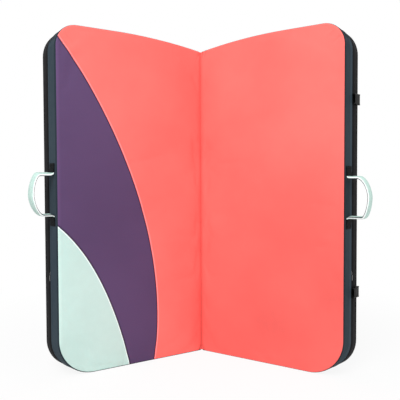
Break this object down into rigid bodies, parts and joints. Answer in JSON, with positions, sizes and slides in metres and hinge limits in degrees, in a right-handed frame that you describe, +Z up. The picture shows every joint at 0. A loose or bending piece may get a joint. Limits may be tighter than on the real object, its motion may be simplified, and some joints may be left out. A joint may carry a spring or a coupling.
{
  "type": "bouldering crash pad",
  "caption": "Folding bouldering crash pad with layered foam, webbing carry handles, edge closures and a back harness, standing open like a book.",
  "frame": {"origin": "on the floor under the middle of the standing pad's box, where it rests on its short edges", "axes": "+Z up along the fold; +X to the side of the one-colour half; the opened landing faces look towards -Y"},
  "size_m": [0.96, 0.384, 1],
  "materials": {
    "coral_cloth": "matte",
    "purple_cloth": "matte",
    "mint_cloth": "matte",
    "slate_cloth": "matte",
    "black_cloth": "matte",
    "mint_webbing": "matte",
    "black_webbing": "matte",
    "buckle_plastic": "satin",
    "zip_metal": "satin",
    "closed_cell_foam": "matte",
    "open_cell_foam": "matte"
  },
  "bodies": {
    "left_half": {"belt_patch": "black_cloth", "harness_yoke": "black_cloth", "hinge_fabric": "coral_cloth", "inner_ladder_lock": "buckle_plastic", "inner_lower_patch": "black_cloth", "inner_lower_tape": "black_webbing", "inner_shoulder_strap": "black_cloth", "left_base_cover": "black_cloth", "left_base_foam": "closed_cell_foam", "left_base_piping": "black_webbing", "left_core_foam": "open_cell_foam", "left_handle_lower_patch": "black_webbing", "left_handle_lower_root": "mint_webbing", "left_handle_upper_patch": "black_webbing", "left_handle_upper_root": "mint_webbing", "left_landing_coral": "coral_cloth", "left_landing_mint": "mint_cloth", "left_landing_purple": "purple_cloth", "left_side_band": "slate_cloth", "left_spine_panel": "black_cloth", "left_top_foam": "closed_cell_foam", "left_zip_track": "black_webbing", "lower_strap_patch": "black_webbing", "outer_ladder_lock": "buckle_plastic", "outer_lower_patch": "black_cloth", "outer_lower_tape": "black_webbing", "outer_shoulder_strap": "black_cloth", "upper_strap_patch": "black_webbing"},
    "right_half": {"lower_socket_tab": "black_webbing", "right_base_cover": "black_cloth", "right_base_foam": "closed_cell_foam", "right_base_piping": "black_webbing", "right_core_foam": "open_cell_foam", "right_handle_lower_patch": "black_webbing", "right_handle_lower_root": "mint_webbing", "right_handle_upper_patch": "black_webbing", "right_handle_upper_root": "mint_webbing", "right_landing_coral": "coral_cloth", "right_side_band": "slate_cloth", "right_spine_panel": "black_cloth", "right_top_foam": "closed_cell_foam", "right_zip_track": "black_webbing", "upper_socket_tab": "black_webbing"},
    "left_handle": {"left_handle_grip": "mint_webbing"},
    "right_handle": {"right_handle_grip": "mint_webbing"},
    "left_zip": {"left_zip_slider": "zip_metal"},
    "right_zip": {"right_zip_slider": "zip_metal"},
    "left_zip_tab": {"left_zip_pull": "zip_metal"},
    "right_zip_tab": {"right_zip_pull": "zip_metal"},
    "upper_socket": {"upper_closure_socket": "buckle_plastic"},
    "lower_socket": {"lower_closure_socket": "buckle_plastic"},
    "upper_strap": {"upper_plug_strap": "black_webbing"},
    "lower_strap": {"lower_plug_strap": "black_webbing"},
    "upper_plug": {"upper_closure_plug": "buckle_plastic"},
    "lower_plug": {"lower_closure_plug": "buckle_plastic"},
    "outer_belt_wing": {"belt_outer_wing": "black_cloth"},
    "inner_belt_wing": {"belt_inner_wing": "black_cloth"},
    "outer_belt_buckle": {"belt_outer_buckle": "buckle_plastic"},
    "inner_belt_buckle": {"belt_inner_buckle": "buckle_plastic"}
  },
  "joints": [
    {"name": "pad_fold", "type": "hinge", "parent": "left_half", "child": "right_half", "pos_m": [0, 0.10732, 0], "axis": [0, 0, 1], "range_deg": [-110, 69.8], "deforming": ["hinge_fabric"]},
    {"name": "left_handle_flop", "type": "hinge", "parent": "left_half", "child": "left_handle", "pos_m": [-0.42038, -0.13829, 0.521], "axis": [0, 0, -1], "range_deg": [-25, 65], "deforming": ["left_handle_upper_root", "left_handle_lower_root"]},
    {"name": "right_handle_flop", "type": "hinge", "parent": "right_half", "child": "right_handle", "pos_m": [0.42038, -0.13829, 0.51], "axis": [0, 0, -1], "range_deg": [-65, 25], "deforming": ["right_handle_upper_root", "right_handle_lower_root"]},
    {"name": "left_zip_travel", "type": "slide", "parent": "left_half", "child": "left_zip", "axis": [0, 0, 1], "range_m": [0, 0.45]},
    {"name": "left_zip_tab_swing", "type": "hinge", "parent": "left_zip", "child": "left_zip_tab", "pos_m": [-0.43524, -0.11803, 0.292], "axis": [-0.5721, 0.8202, 0], "range_deg": [0, 170]},
    {"name": "right_zip_travel", "type": "slide", "parent": "right_half", "child": "right_zip", "axis": [0, 0, 1], "range_m": [0, 0.45]},
    {"name": "right_zip_tab_swing", "type": "hinge", "parent": "right_zip", "child": "right_zip_tab", "pos_m": [0.43524, -0.11803, 0.292], "axis": [-0.5721, -0.8202, 0], "range_deg": [0, 170]},
    {"name": "upper_socket_swing", "type": "hinge", "parent": "right_half", "child": "upper_socket", "pos_m": [0.45717, -0.09516, 0.789], "axis": [0, 0, 1], "range_deg": [0, 105]},
    {"name": "upper_strap_swing", "type": "hinge", "parent": "left_half", "child": "upper_strap", "pos_m": [-0.42228, -0.05814, 0.789], "axis": [0, 0, 1], "range_deg": [0, 150]},
    {"name": "upper_plug_swing", "type": "hinge", "parent": "upper_strap", "child": "upper_plug", "pos_m": [-0.28098, 0.04518, 0.789], "axis": [0, 0, 1], "range_deg": [0, 90]},
    {"name": "lower_socket_swing", "type": "hinge", "parent": "right_half", "child": "lower_socket", "pos_m": [0.45717, -0.09516, 0.235], "axis": [0, 0, 1], "range_deg": [0, 105]},
    {"name": "lower_strap_swing", "type": "hinge", "parent": "left_half", "child": "lower_strap", "pos_m": [-0.42228, -0.05814, 0.235], "axis": [0, 0, 1], "range_deg": [0, 150]},
    {"name": "lower_plug_swing", "type": "hinge", "parent": "lower_strap", "child": "lower_plug", "pos_m": [-0.28098, 0.04518, 0.235], "axis": [0, 0, 1], "range_deg": [0, 90]},
    {"name": "outer_belt_swing", "type": "hinge", "parent": "left_half", "child": "outer_belt_wing", "pos_m": [-0.30214, 0.0292, 0.292], "axis": [0, 0, -1], "range_deg": [0, 95]},
    {"name": "outer_belt_buckle_swing", "type": "hinge", "parent": "outer_belt_wing", "child": "outer_belt_buckle", "pos_m": [-0.39293, -0.03291, 0.292], "axis": [0, 0, -1], "range_deg": [0, 70]},
    {"name": "inner_belt_swing", "type": "hinge", "parent": "left_half", "child": "inner_belt_wing", "pos_m": [-0.22013, 0.08642, 0.292], "axis": [0, 0, 1], "range_deg": [0, 95]},
    {"name": "inner_belt_buckle_swing", "type": "hinge", "parent": "inner_belt_wing", "child": "inner_belt_buckle", "pos_m": [-0.13048, 0.15017, 0.292], "axis": [0, 0, 1], "range_deg": [0, 70]}
  ]
}
